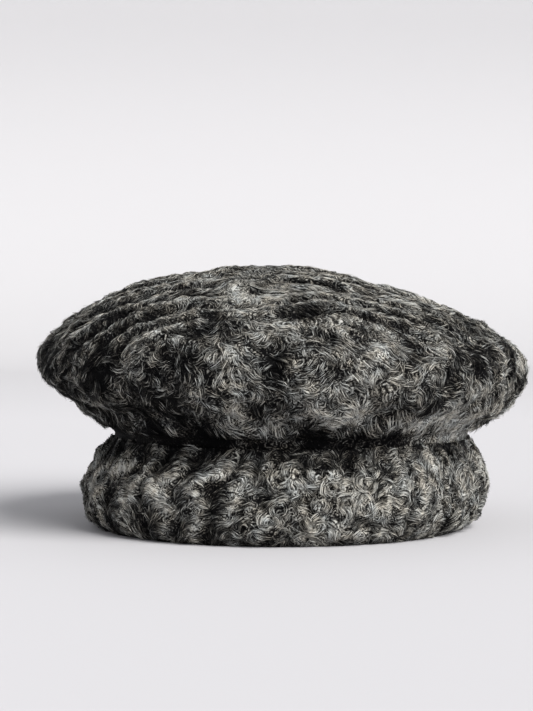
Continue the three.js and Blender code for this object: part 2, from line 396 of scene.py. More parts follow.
ROSETTE_ROWS = 5
ROSETTES_ROUND = 54
rosette_draw = np.random.default_rng(41)
rosette_count = ROSETTE_ROWS * ROSETTES_ROUND
rosette_row, rosette_column = np.divmod(np.arange(rosette_count), ROSETTES_ROUND)
rosette_place = rosette_column + 0.5 * (rosette_row % 2) + 0.9 * rosette_draw.random(rosette_count)
rosette_angle = rosette_place / ROSETTES_ROUND * TAU
rosette_up = 0.1 + 0.62 * (rosette_row + 0.9 * rosette_draw.random(rosette_count)) / (ROSETTE_ROWS - 1)
rosette_radius = 3.4 + 3.4 * rosette_draw.random(rosette_count) ** 1.5
rosette_spin = np.where(rosette_draw.random(rosette_count) > 0.5, 1.0, -1.0)

cuff_radius = (head_half_width + head_half_depth) / 2 + cuff_in + cuff_wall
CURLS = round(TAU * cuff_radius / curl_pitch)


def curl_phase(angle, up, place):
    """Which pipe curl of the cuff a place is on: whole numbers lie in the grooves. The curls are
    narrow on the right and wide on the left, lean along a sine round the head, bow sideways
    between their ends and wander by noise. On the left they hook over half a curl near their
    tops."""
    arch = smooth(up, 0.1, 0.35) * (1 - smooth(up, 0.8, 1))
    leaning = curl_lean / cuff_radius * (0.2 + 0.8 * np.sin(2 * angle + 1.3))
    straight = angle + 0.45 * np.sin(angle) - leaning * (up - 0.5) * arch
    bowed = 0.14 * np.sin(np.pi * up) * np.sin(3 * angle + 1)
    hooked = 0.45 - 0.5 * smooth(up, 0.6, 0.76) * smooth(-np.cos(angle), -0.2, 0.4)
    wander = 0.3 * noise(place, 19, 21) + 0.08 * noise(place, 8, 27)
    return straight * CURLS / TAU + bowed + hooked + wander


def rosettes(angle, up):
    """For each place the distance to its nearest rosette in radii, the hair's angle round that
    rosette's middle, and how much the cuff is curled into rosettes there: fully over the front,
    about half at the far right, and hardly on the left, where the pipes are."""
    away = (angle[..., None] - rosette_angle + np.pi) % TAU - np.pi
    east = away * cuff_radius
    north = (up[..., None] - rosette_up) * cuff_line.length
    near = np.hypot(east, north) / rosette_radius
    first = np.argmin(near, axis=-1)[..., None]
    near, east, north = [np.take_along_axis(x, first, -1)[..., 0] for x in (near, east, north)]
    spin = rosette_spin[first[..., 0]]
    across = np.cos(angle) + 0.12 * np.sin(11 * angle)
    curled = 0.12 + 0.88 * smooth(across, -0.45, -0.2) * (1 - 0.55 * smooth(across, 0.42, 0.62))
    return near, np.arctan2(north, east) + spin * (2.1 - 0.5 * near), curled


def cuff_relief(angle, up, place):
    """Height of the pile over the outline: upright pipes with waists, and domed rosettes with a
    dimple in each middle."""
    phase = curl_phase(angle, up, place)
    arch = smooth(up, 0.04, 0.25) * (1 - smooth(up, 0.84, 1))
    pipe = np.abs(np.sin(np.pi * phase)) ** 0.7
    tall = 0.7 + 0.3 * vary(np.floor(phase), 4) + 0.35 * noise(place, 12, 22)
    near, _, curled = rosettes(angle, up)
    rose = np.sqrt(np.maximum(0, 1 - (near / 1.35) ** 2)) - 0.5 * bell(near, 0.3)
    lift = curl_height * (pipe * tall - pipe_sunk) * (1 - curled)
    lift = lift + 0.85 * curl_height * (rose - 0.45) * curled + 0.8 * noise(place, 6, 28)
    return lift * arch + 0.4 * noise(place, 3.1, 23) - pile_depth * smooth(up, 0, 0.08)


def cuff_lie(angle, up, place):
    """Angle at which the hair lies, from the way round the cuff: it rises out of one groove, goes
    over the pipe and falls into the next, and turns round the rosettes. Some pipes are mirrored."""
    phase = curl_phase(angle, up, place)
    across = phase - np.floor(phase)
    mirrored = vary(np.floor(phase), 6) > 0.78
    wander = 0.35 * noise(place, 10, 24)
    swirl = 0.8 * noise(place, 7, 30)
    over = np.where(mirrored, np.pi - 0.9 + 2.3 * (1 - across), 0.9 - 2.3 * across) + wander
    near, round_it, curled = rosettes(angle, up)
    pull = curled * bell(near, 1.6)
    return blend_angles(over, 1 - pull, round_it + swirl, 1.5 * pull)


# Darker and silver places on the cuff: angle, share of the way up, radius in mm, change of tone
CUFF_PATCHES = (
    (3.86, 0.40, 9, -0.16),
    (4.29, 0.28, 9, 0.22),
    (4.49, 0.35, 6, -0.16),
    (4.57, 0.88, 7, 0.30),
    (4.69, 0.62, 6, -0.16),
    (4.93, 0.50, 6, -0.28),
    (5.02, 0.62, 7, -0.16),
    (5.13, 0.15, 7, 0.20),
    (5.50, 0.88, 9, 0.18),
)


def cuff_tone(angle, up, place):
    """How light the cuff's wool is: clouds of noise, the patches, a painted highlight down each pipe
    beside painted shade in its groove, both fainter on the right, a painted highlight round the crest
    of each rosette with painted shade in its dimple and round its edge, painted shade low down on the
    left, and painted shade under the crown at the crease, most of all on the left."""
    phase = curl_phase(angle, up, place) + 0.06 * noise(place, 7, 29)
    crest_highlight = bell(phase - np.floor(phase) - 0.62, 0.24)
    near, _, curled = rosettes(angle, up)
    # painted highlight round each rosette's crest, painted shade in its middle dimple and in the gaps round
    # it
    ring = 0.16 * bell(near - 0.55, 0.35) - 0.17 * smooth(near, 0.95, 1.35) - 0.12 * bell(near, 0.22)
    right = smooth(place[..., 0], 35, 80)
    tone = 0.61 + 0.08 * noise(place, 26, 25) + 0.14 * noise(place, 8, 26)
    for at, height, radius, change in CUFF_PATCHES:
        east = ((angle - at + np.pi) % TAU - np.pi) * cuff_radius
        tone = tone + change * bell(np.hypot(east, (up - height) * cuff_line.length), radius)
    # painted shade low down on the left of the cuff, where little light comes from below
    low_left_shade = bell(place[..., 0] + 85, 45) * (1 - smooth(up, 0.2, 0.6))
    # painted shade at the top of the cuff, under the crown, most of all on the left
    crease = smooth(up, 0.66, 0.92) * (1 - 0.8 * smooth(place[..., 0], -40, 50))
    # painted highlight down each pipe's crest and painted shade in its groove, fainter on the right, and the
    # rosettes' painted light and shade
    light = (0.62 * crest_highlight - 0.29) * (1 - curled) * (1 - 0.5 * right) + ring * curled
    return tone + light - 0.2 * low_left_shade - 0.26 * crease


def cuff_bundles(angle, up, place):
    """Places where noise keeps one value along an arc of hair: the height, and the curl's number."""
    curl = np.floor(curl_phase(angle, up, place))
    return np.stack([up * cuff_line.length, curl * 5.0, 0 * curl], axis=-1)


def settle_on_curls(angle, up, low, high, rng):
    """Slides places round the cuff until each lies between two shares of the way over its curl."""
    wanted = rng.uniform(low, high, len(angle))
    for _ in range(4):
        phase = curl_phase(angle, up, cuff_skin(angle, up))
        angle = angle + 0.7 * (np.floor(phase) + wanted - phase) / CURLS * TAU
    return angle


# Meshes


def ring_angles(columns):
    """Even angles all the way round."""
    return np.arange(columns) / columns * TAU


def grid_faces(rows, columns, wrap_rows=False):
    """Quads of a grid whose columns close into a ring, and its rows too if asked."""
    r = np.arange(rows if wrap_rows else rows - 1)[:, None]
    c = np.arange(columns)[None, :]
    below = (r + 1) % rows
    right = (c + 1) % columns
    quads = np.stack([r * columns + c, r * columns + right, below * columns + right, below * columns + c], -1)
    return quads.reshape(-1, 4)


def fan_faces(middle, first, columns, flipped=False):
    """Triangles from a middle point to a ring of points, whose first one is given."""
    here = first + np.arange(columns)
    beside = first + (np.arange(columns) + 1) % columns
    pair = (beside, here) if flipped else (here, beside)
    return np.stack([np.full(columns, middle), *pair], -1)


def make_mesh(name, points, faces, materials):
    """A mesh object at the origin from points in millimetres and a list of face arrays."""
    mesh = bpy.data.meshes.new(name)
    sizes = np.concatenate([np.full(len(f), f.shape[1]) for f in faces])
    corners = np.concatenate([f.ravel() for f in faces]).astype(np.int32)
    mesh.vertices.add(len(points))
    mesh.vertices.foreach_set("co", (points * MM).astype(np.float32).ravel())
    mesh.loops.add(len(corners))
    mesh.loops.foreach_set("vertex_index", corners)
    mesh.polygons.add(len(sizes))
    starts = np.concatenate([[0], np.cumsum(sizes)[:-1]]).astype(np.int32)
    mesh.polygons.foreach_set("loop_start", starts)
    mesh.polygons.foreach_set("loop_total", sizes.astype(np.int32))
    mesh.polygons.foreach_set("use_smooth", np.ones(len(sizes), bool))
    mesh.update(calc_edges=True)
    mesh.validate()
    for material in materials:
        mesh.materials.append(material)
    piece = bpy.data.objects.new(name, mesh)
    bpy.context.scene.collection.objects.link(piece)
    return piece


def set_tone(piece, tone):
    """Keeps how light the wool is at each vertex, for the material to read."""
    attribute = piece.data.attributes.new("tone", "FLOAT", "POINT")
    attribute.data.foreach_set("value", np.clip(tone, 0, 1).astype(np.float32).ravel())


def set_uv(piece, uv):
    """A UV map named lie, given at each vertex: u along the hair and v across it."""
    layer = piece.data.uv_layers.new(name="lie")
    corner = np.zeros(len(piece.data.loops), np.int32)
    piece.data.loops.foreach_get("vertex_index", corner)
    layer.data.foreach_set("uv", uv[corner].astype(np.float32).ravel())


def finish_piece(piece, nodes):
    """Rides on the cap and stands for its solids, which it hides."""
    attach(piece, "root")
    if nodes:
        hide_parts(*nodes)


# Materials


def start_material(name):
    """A new material, with short ways to add a node, to link two sockets, and to work a sum out of
    sockets and numbers."""
    material = bpy.data.materials.new(name)
    material.use_nodes = True
    tree = material.node_tree
    tree.nodes.clear()
    link = tree.links.new

    def add(kind, **values):
        node = tree.nodes.new(kind)
        for key, value in values.items():
            if isinstance(value, (int, float, tuple)) and key in node.inputs:
                node.inputs[key].default_value = value
            else:
                setattr(node, key, value)
        return node

    def work_out(operation, *values):
        node = add("ShaderNodeMath", operation=operation)
        for socket, value in zip(node.inputs, values):
            if isinstance(value, (int, float)):
                socket.default_value = value
            else:
                link(value, socket)
        return node.outputs[0]

    return material, (add, link, work_out)


def object_noise(tools, scale, detail, roughness, distortion=0.0):
    """Noise on the piece's own coordinates, with so many cells to the metre."""
    add, link, _ = tools
    place = add("ShaderNodeTexCoord")
    values = {"Scale": scale, "Detail": detail, "Roughness": roughness, "Distortion": distortion}
    cloud = add("ShaderNodeTexNoise", **values)
    link(place.outputs["Object"], cloud.inputs["Vector"])
    return cloud.outputs["Fac"]


def finish_surface(tools, colour, **sockets):
    """Ends a material with a shader of that colour, whose other sockets keep fixed values."""
    add, link, _ = tools
    shader = add("ShaderNodeBsdfPrincipled", **sockets)
    link(colour, shader.inputs["Base Color"])
    output = add("ShaderNodeOutputMaterial")
    link(shader.outputs["BSDF"], output.inputs["Surface"])
    return shader


# The wool's colours from its darkest to its lightest tone
WOOL_COLOURS = (
    (0.0, (0.001, 0.001, 0.0012, 1)),
    (0.25, (0.0080, 0.0077, 0.0074, 1)),
    (0.5, (0.080, 0.0785, 0.0708, 1)),
    (0.75, (0.26, 0.259, 0.235, 1)),
    (1.0, (0.49, 0.49, 0.45, 1)),
)

# Clouds of cooler and of warmer grey, and the two browns of the suede
COOL_TINT = (0.94, 0.98, 1.05, 1)
WARM_TINT = (1.05, 0.995, 0.95, 1)
SUEDE_DARK = (0.13, 0.115, 0.10, 1)
SUEDE_LIGHT = (0.24, 0.215, 0.185, 1)


def finish_wool(tools, hair, contrast, lighter, bump_height, roughness, gloss):
    """Ends a wool material: the tone attribute and the pattern of hairs together go through black,
    grey and silver, and the same pattern is raised a little."""
    add, link, work_out = tools
    tone = add("ShaderNodeAttribute", attribute_name="tone")
    centred = work_out("MULTIPLY_ADD", hair, contrast, lighter - 0.5 * contrast)
    total = work_out("ADD", tone.outputs["Fac"], centred)
    ramp = add("ShaderNodeValToRGB")
    elements = ramp.color_ramp.elements
    while len(elements) < len(WOOL_COLOURS):
        elements.new(0.5)
    for element, (position, colour) in zip(elements, WOOL_COLOURS):
        element.position = position
        element.color = colour
    link(total, ramp.inputs["Fac"])
    bump = add("ShaderNodeBump", Strength=0.8, Distance=bump_height * MM)
    link(hair, bump.inputs["Height"])
    cloud = object_noise(tools, scale=120.0, detail=3.0, roughness=0.7)
    spread = add("ShaderNodeMapRange", **{"From Min": 0.35, "From Max": 0.65})
    link(cloud, spread.inputs["Value"])
    tint = add("ShaderNodeMix", data_type="RGBA", A=COOL_TINT, B=WARM_TINT)
    link(spread.outputs["Result"], tint.inputs["Factor"])
    tinted = add("ShaderNodeMix", data_type="RGBA", blend_type="MULTIPLY", Factor=1.0)
    link(ramp.outputs["Color"], tinted.inputs["A"])
    link(tint.outputs["Result"], tinted.inputs["B"])
    sockets = {"Roughness": roughness, "Specular IOR Level": gloss}
    shader = finish_surface(tools, tinted.outputs["Result"], **sockets)
    link(bump.outputs["Normal"], shader.inputs["Normal"])


def lock_wool_material():
    """Hair on the strands: noise drawn out along the strand in the map's millimetres, each streak
    a few millimetres long and as wide as a hair."""
    streak_length, streak_width = 4.0, 0.55
    material, tools = start_material("lock_wool")
    add, link, _ = tools
    uv = add("ShaderNodeUVMap", uv_map="lie")
    stretch = add("ShaderNodeMapping", Scale=(1 / streak_length, 1 / streak_width, 1))
    link(uv.outputs["UV"], stretch.inputs["Vector"])
    hair = add("ShaderNodeTexNoise", Scale=1.0, Detail=2.0, Roughness=0.65, Distortion=0.6)
    link(stretch.outputs["Vector"], hair.inputs["Vector"])
    finish_wool(
        tools, hair.outputs["Fac"], contrast=1.5, lighter=0.0, bump_height=0.12, roughness=0.45, gloss=0.08
    )
    return material


def under_wool_material():
    """Short hair under the strands: the level lines of a soft noise run side by side and turn in
    whorls, as curled hair does, and a fine noise breaks them up."""
    line_density, line_height = 58.0, 0.16
    material, tools = start_material("under_wool")
    _, _, work_out = tools
    swirl = object_noise(tools, scale=150.0, detail=1.0, roughness=0.4, distortion=0.6)
    fine = object_noise(tools, scale=1100.0, detail=2.0, roughness=0.6)
    lines = work_out("SINE", work_out("MULTIPLY", swirl, line_density))
    raised = work_out("MULTIPLY_ADD", lines, line_height, fine)
    # lighter=-0.26 sets the short hair darker than the strands, so the gaps between locks show painted shade
    finish_wool(tools, raised, contrast=1.5, lighter=-0.26, bump_height=0.5, roughness=0.7, gloss=0.04)
    return material


def suede_material():
    """The skin side of the pelt inside the cap: grey-brown suede with a fine nap and stains."""
    material, tools = start_material("suede")
    add, link, _ = tools
    cloud = object_noise(tools, scale=38.0, detail=4.0, roughness=0.6)
    nap = object_noise(tools, scale=900.0, detail=2.0, roughness=0.7)
    mix = add("ShaderNodeMix", data_type="RGBA", A=SUEDE_DARK, B=SUEDE_LIGHT)
    link(cloud, mix.inputs["Factor"])
    bump = add("ShaderNodeBump", Strength=0.5, Distance=0.3 * MM)
    link(nap, bump.inputs["Height"])
    sockets = {"Roughness": 0.85, "Sheen Weight": 0.2}
    shader = finish_surface(tools, mix.outputs["Result"], **sockets)
    link(bump.outputs["Normal"], shader.inputs["Normal"])
    return material


under_wool = under_wool_material()
lock_wool = lock_wool_material()
suede = suede_material()


def piled_points(skin, relief, a, b):
    """Points of a skin raised along its normal by its relief."""
    place = skin(a, b)
    normal, _, _ = facing(skin, a, b)
    return place + normal * relief(a, b, place)[..., None], place


CROWN_COLUMNS = 360  # of both crown pelts, which share the ring of the rim seam
HIDDEN_TONE = 0.3  # of the pelts inside and behind the cuff


def rim_ring():
    """The raised points of the rim seam, which both crown pelts share."""
    angle = ring_angles(CROWN_COLUMNS)
    return piled_points(crown_skin, crown_relief, np.cos(angle), np.sin(angle))[0]


def head_rings(angle, rows):
    """Rings round the head opening, for rows of how far out from it and how high each one lies."""
    out, z = np.array(rows).T[..., None]
    x = (head_half_width + out) * np.cos(angle)
    y = (head_half_depth + out) * np.sin(angle)
    return slouch(x, y, z + 0 * angle)


def crown_top_pelt():
    """The top of the crown: rings from the pole to the rim seam, then back inside to the pole."""
    columns, rows, inner_rows = CROWN_COLUMNS, 56, 8
    just_inside = 0.999
    inner_tone, ridge_light = 0.4, 0.14
    angle = ring_angles(columns)
    cos, sin = np.cos(angle), np.sin(angle)
    share = (np.arange(rows) + 1)[:, None] / rows
    outer, place = piled_points(crown_skin, crown_relief, share * cos, share * sin)
    inner_share = np.linspace(just_inside, 1 / inner_rows, inner_rows)[:, None]
    inner_a, inner_b = inner_share * cos, inner_share * sin
    inner_normal, _, _ = facing(crown_skin, inner_a * just_inside, inner_b * just_inside)
    inner = crown_skin(inner_a, inner_b) - inner_normal * crown_wall
    inner[0, :, 2] = place[-1, :, 2] + seam_gap / 2
    pole, middle = piled_points(crown_skin, crown_relief, np.zeros(1), np.zeros(1))
    inner_pole = middle - (0, 0, crown_wall)
    points = np.concatenate([outer.reshape(-1, 3), inner.reshape(-1, 3), pole, inner_pole])
    total_rows = rows + inner_rows
    quads = grid_faces(total_rows, columns)[:, [0, 3, 2, 1]]
    top = fan_faces(len(points) - 2, 0, columns)
    bottom = fan_faces(len(points) - 1, (total_rows - 1) * columns, columns, flipped=True)
    piece = make_mesh("crown_top_pelt", points, [quads, top, bottom], [under_wool, suede])
    inside_tone = np.full(inner_rows * columns + 2, inner_tone)
    ridged, _ = crown_zones(share * cos, share * sin)
    skin_tone = crown_tone(share * cos, share * sin, place) + ridge_light * ridged
    skin_tone = skin_tone - seam_shade * bell(share - 1, seam_width)
    set_tone(piece, np.concatenate([skin_tone.ravel(), inside_tone]))
    mark = np.zeros(len(piece.data.polygons), np.int32)
    mark[(rows - 1) * columns:len(quads)] = 1
    mark[len(quads) + columns:] = 1
    piece.data.polygons.foreach_set("material_index", mark)
    return piece


def crown_side_pelt():
    """The lower panel: from the rim seam in to the neck and down inside the cuff, then up the
    inside of the neck and out under the crown, back to the seam."""
    columns, rows = CROWN_COLUMNS, 32
    angle = ring_angles(columns)
    cos, sin = np.cos(angle), np.sin(angle)
    share = 1 + np.linspace(0, 1, rows)[:, None] * UNDER_SHARE
    skin, place = piled_points(crown_skin, crown_relief, share * cos, share * sin)
    skin[0] = rim_ring()
    skin[-1] = place[-1]
    foot = lip_height + seam_gap
    rise = rim_level - neck_top
    inside = head_rings(angle, (
        (neck_wall, neck_top - neck_tuck),
        (neck_wall, foot),
        (0, foot),
        (0, neck_top * 0.5),
        (0, neck_top + 0.6 * crown_wall),
        (crown_overhang * 0.3, neck_top + rise * 0.28 + 0.5 * crown_wall),
        (crown_overhang * 0.62, neck_top + rise * 0.54 + 0.4 * crown_wall),
        (neck_wall + crown_overhang - crown_wall, rim_level - seam_gap),
    ))
    points = np.concatenate([skin, inside]).reshape(-1, 3)
    quads = grid_faces(rows + len(inside), columns, wrap_rows=True)[:, [0, 3, 2, 1]]
    piece = make_mesh("crown_side_pelt", points, [quads], [under_wool, suede])
    inside_tone = np.full(len(inside) * columns, HIDDEN_TONE)
    skin_tone = crown_tone(share * cos, share * sin, place) - seam_shade * bell(share - 1, seam_width)
    set_tone(piece, np.concatenate([skin_tone.ravel(), inside_tone]))
    mark = np.zeros(len(quads), np.int32)
    mark[(rows + 1) * columns:] = 1
    piece.data.polygons.foreach_set("material_index", mark)
    return piece


def cuff_pelt():
    """The cuff: up its curled face from the foot, over the top, down behind and round the lip."""
    columns, rows = 480, 44
    angle = ring_angles(columns)
    up = np.linspace(0, 1, rows)[:, None]
    angles = angle + 0 * up
    ups = up + 0 * angle
    face, place = piled_points(cuff_skin, cuff_relief, angles, ups)
    face[0] = place[0]
    back = head_rings(angle, (
        (cuff_in, cuff_height - 0.05 * cuff_wall),
        (cuff_in, cuff_height * 0.6),
        (cuff_in, lip_height),
        (0, lip_height),
        (0.3 * lip_height, 0),
    ))
    points = np.concatenate([face, back]).reshape(-1, 3)
    points[:, 2] = np.maximum(points[:, 2], 0)
    quads = grid_faces(rows + len(back), columns, wrap_rows=True)
    piece = make_mesh("cuff_pelt", points, [quads], [under_wool])
    back_tone = np.full(len(back) * columns, HIDDEN_TONE)
    set_tone(piece, np.concatenate([cuff_tone(angles, ups, place).ravel(), back_tone]))
    return piece


# Locks of wool

LOCK_POINTS = 4
ALONG = np.linspace(0, 1, LOCK_POINTS)  # share of the way along a lock at each of its points
INNER = slice(1, LOCK_POINTS - 1)  # the points between the two ends
STRAND_WIDTHS = np.array([1.4, 1.0, 0.7, 0.52, 0.46, 0.42, 0.38])  # broad tufts to single hairs
STRAND_LIFTS = np.array([0.05, 0.2, 0.4, 0.6, 0.75, 0.9, 1.0])
STRAND_SILVER = np.array([0.1, 0.3, 0.8, 1.0, 1.0, 1.0, 1.0])  # how likely each is a silver one
STRAND_SHAPE = np.array([0, 0.95, 0.85, 0])  # share of the full width at each point
SIDEWAYS = np.array([-0.5, 0, 0.5] * (LOCK_POINTS - 2) + [0, 0])  # across a sliver, in its widths
FLOOR_CLEAR = 0.05  # no strand goes lower
MAP_LENGTH = 400  # how far along the hair's pattern a strand may start
MAP_WIDTH = 60  # and so far across


def plan_scale(skin):
    """Millimetres for each unit of a skin's two plan values, so that an angle there is a real one."""
    if skin is crown_skin:
        return dome_line.length, dome_line.length * half_depth / half_width
    return cuff_radius, cuff_line.length


def walk(skin, a, b, heading, step):
    """Plan places one step of that many millimetres further over the skin, at a heading."""
    _, along_a, along_b = facing(skin, a, b)
    scale_a, scale_b = plan_scale(skin)
    move_a = np.cos(heading) / scale_a
    move_b = np.sin(heading) / scale_b
    move = along_a * move_a[:, None] + along_b * move_b[:, None]
    reach = step / np.maximum(np.linalg.norm(move, axis=1), 0.3)
    return a + move_a * reach, b + move_b * reach


def lock_paths(skin, relief, lie, tone_at, a, b, length, turn, follow):
    """Each lock's middle line: back against the hair from the given place for half its length, and
    from that root, steps of equal length over the raised skin, along the lie of the hair and turned
    a little more at each step. Returns points, normals and tones."""
    for _ in range(2):
        a, b = walk(skin, a, b, lie(a, b, skin(a, b)), -length / 4)
    heading = lie(a, b, skin(a, b))
    points, normals, tones = [], [], []
    for k in range(LOCK_POINTS):
        place = skin(a, b)
        normal, _, _ = facing(skin, a, b)
        points.append(place + normal * relief(a, b, place)[:, None])
        normals.append(normal)
        tones.append(tone_at(a, b, place))
        heading = heading + follow * np.sin(lie(a, b, place) - heading) + turn * (k + 1) / LOCK_POINTS
        a, b = walk(skin, a, b, heading, length / (LOCK_POINTS - 1))
    return np.stack(points, 1), np.stack(normals, 1), np.stack(tones, 1)


def sliver_faces(sections):
    """Triangles of a closed sliver: three lines of points along it, then a point at each end."""
    root, tip = 3 * sections, 3 * sections + 1
    faces = []
    for k in range(3):
        n = (k + 1) % 3
        faces.append((root, n, k))
        faces.append((tip, 3 * (sections - 1) + k, 3 * (sections - 1) + n))
        for r in range(sections - 1):
            faces.append((3 * r + k, 3 * r + n, 3 * (r + 1) + n))
            faces.append((3 * r + k, 3 * (r + 1) + n, 3 * (r + 1) + k))
    return np.array(faces)


def uneven(rng, shape):
    """Random shares from 0.7 to 1.3."""
    return 0.7 + 0.6 * rng.random(shape)


def strand_lines(line, normal, length, settings, rng):
    """Each strand's middle line and the way across it. The strands of a lock start side by side and
    close up towards the tip. A strand is low at its root, raised by the square of the way along it,
    bent in again at its tip, and slid a little along the lock."""
    locks, strands = len(line), len(STRAND_WIDTHS)
    tangent = unit(np.gradient(line, axis=1))
    across = unit(np.cross(normal, tangent))
    gather = 1 - settings["gather"] * ALONG
    offset = rng.uniform(-1, 1, (locks, strands, 1)) * settings["spread"] * gather
    offset = offset + 0.36 * rng.normal(size=(locks, strands, LOCK_POINTS)) * ALONG
    lift = settings["lift"] * (0.25 + STRAND_LIFTS[:, None] * (0.5 + rng.random((locks, strands, 1))))
    flick = settings["flick"] * rng.random((locks, strands, 1)) ** 3
    raised = lift * ALONG * (1.9 - 1.1 * ALONG) - 0.3 * (1 - ALONG) + flick * ALONG**2
    slide = rng.uniform(-0.12, 0.12, (locks, strands, 1)) * length[:, None, None]
    centre = (
        line[:, None] + across[:, None] * offset[..., None] + normal[:, None] * raised[..., None]
        + tangent[:, None] * slide[..., None]
    )
    return centre, across


def sliver_points(centre, across, normal, width):
    """Points of a closed sliver round each strand's middle line: at each inner point one to either
    side and a crest between them, then a point at each end."""
    shape = STRAND_SHAPE[:, None]
    half = 0.5 * width * shape * across[:, None]
    crest = (0.2 * width + 0.08) * shape * normal[:, None]
    rings = np.stack([centre - half, centre + crest, centre + half], 3)[:, :, INNER]
    count = rings.shape[0] * rings.shape[1]
    ends = np.stack([centre[:, :, 0], centre[:, :, -1]], 2).reshape(count, 2, 3)
    return np.concatenate([rings.reshape(count, -1, 3), ends], 1)


def at_sliver_points(values):
    """Values at the points of the strands' middle lines, in the order of the slivers' points."""
    ringed = np.repeat(values[..., INNER], 3, axis=-1)
    ordered = np.concatenate([ringed, values[..., [0, -1]]], -1)
    return ordered.reshape(-1, ordered.shape[-1])


def wool_piece(name, surface, a, b, settings, seed):
    """Locks as one mesh. A lock is a few strands, broad ones below and fine ones above, and many of
    the fine ones are silver. A strand is dark at its root."""
    skin, relief, lie, tone_at, bundles = surface
    rng = np.random.default_rng(seed)
    locks, strands = len(a), len(STRAND_WIDTHS)
    count = locks * strands
    length = settings["length"] * uneven(rng, locks)
    turn = settings["turn"] * noise(skin(a, b), 13, seed + 3) + settings["jitter"] * rng.normal(size=locks)
    line, normal, field = lock_paths(skin, relief, lie, tone_at, a, b, length, turn, settings["follow"])
    centre, across = strand_lines(line, normal, length, settings, rng)
    width = settings["width"] * STRAND_WIDTHS[:, None, None] * uneven(rng, (locks, strands, 1, 1))
    points = sliver_points(centre, across, normal, width)
    triangles = np.arange(count)[:, None, None] * points.shape[1] + sliver_faces(LOCK_POINTS - 2)
    flat = points.reshape(-1, 3)
    flat[:, 2] = np.maximum(flat[:, 2], FLOOR_CLEAR)
    piece = make_mesh(name, flat, [triangles.reshape(-1, 3)], [lock_wool])

    lock_tone = settings["bundling"] * noise(bundles(a, b, skin(a, b)), 2.6, seed + 7)
    strand_tone = lock_tone[:, None] + 0.07 * rng.normal(size=(locks, strands))
    silver = rng.random((locks, strands)) < settings["silver"] * STRAND_SILVER
    strand_tone = strand_tone + np.where(silver, settings["silvering"], -settings["silvering"] / 2)
    tone = strand_tone[..., None] + field[:, None] - 0.2 * (1 - ALONG) ** 2
    set_tone(piece, at_sliver_points(tone))
    run = np.repeat(ALONG * length[:, None, None], strands, axis=1)
    u = at_sliver_points(run) + rng.random((count, 1)) * MAP_LENGTH
    v = (SIDEWAYS * width[..., 0]).reshape(count, -1) + rng.random((count, 1)) * MAP_WIDTH
    set_uv(piece, np.stack([u, v], -1).reshape(-1, 2))
    return piece


SHARE_SPREAD = 0.006  # how far a lock may lie from its even place, in share and in angle
TURN_SPREAD = 0.03


def spread_over_ring(count, inner, outer, rng):
    """Places spread evenly over a ring of the crown's plan, weighed by the skin's real area: the
    area for each unit of share is the ring's girth, which past the rim shrinks again. Turning by
    the golden angle keeps them apart."""
    rings, middle_weight = 400, 2
    shares = np.linspace(inner, outer, rings)
    girth = crown_skin(shares, 0 * shares)[:, 0] + middle_weight
    weight = np.concatenate([[0], np.cumsum((girth[1:] + girth[:-1]) / 2)])
    order = (np.arange(count) + 0.5) / count
    share = np.interp(order, weight / weight[-1], shares) + rng.uniform(-SHARE_SPREAD, SHARE_SPREAD, count)
    angle = np.arange(count) * GOLDEN_TURN + rng.uniform(-TURN_SPREAD, TURN_SPREAD, count)
    return share * np.cos(angle), share * np.sin(angle)


def spread_over_cuff(count, low, high, rng):
    """Places spread evenly round the cuff, between two shares of the way up."""
    up = low + (high - low) * (np.arange(count) + 0.5) / count
    angle = np.arange(count) * GOLDEN_TURN + rng.uniform(-TURN_SPREAD, TURN_SPREAD, count)
    return angle % TAU, up


CROWN = (crown_skin, crown_relief, crown_lie, crown_tone, crown_bundles)
CUFF_FACE = (cuff_skin, cuff_relief, cuff_lie, cuff_tone, cuff_bundles)
PILE = {
    "length": 7.5,  # of a lock
    "turn": 1.6,  # how far neighbouring locks turn together
    "jitter": 0.25,  # how far each one turns by itself
    "follow": 0.65,  # how closely it keeps to the lie of the hair
    "spread": 1.9,  # to either side, where its strands start
    "gather": 0.3,  # share of the spread that is gone at the tip
    "lift": 0.6,  # how high the strands rise
    "flick": 1.9,  # how high a stray tip stands up
    "width": 0.74,  # of a strand of width 1
    "bundling": 0.21,  # how much the tones of bundles differ
    "silver": 0.6,  # share of the fine strands that are silver
    "silvering": 0.31,  # how much lighter those are
}
PRESSED_PILE = {
    **PILE, "length": 9.5, "turn": 0.5, "jitter": 0.16, "spread": 1.8, "lift": 0.45, "flick": 0.7,
    "width": 0.7,
}
CURL_PILE = {
    **PILE, "length": 7.6, "turn": 0.1, "jitter": 0.08, "follow": 1.0, "spread": 1.7, "flick": 1.2,
    "width": 0.92, "bundling": 0.16, "silvering": 0.22,
}

# Wool of the crown: name, from and to which share of the plan, number of locks, slot and pile
CROWN_WOOL = (
    ("crown_top_wool", 0.0, 0.72, 2250, "top_pelt", PRESSED_PILE),
    ("crown_shoulder_wool", 0.70, 1.0, 2250, "top_pelt", PILE),
    ("crown_side_wool", 1.0, 1 + 0.86 * UNDER_SHARE, 2250, "side_pelt", PILE),
)

# Wool of the cuff: name, number of locks, from and to which shares of the way up and over a curl
CUFF_WOOL = (
    ("cuff_wool", 2250, 0.02, 0.98, 0.0, 1.0),
    ("cuff_curl_wool", 1350, 0.08, 0.92, 0.02, 0.45),
)


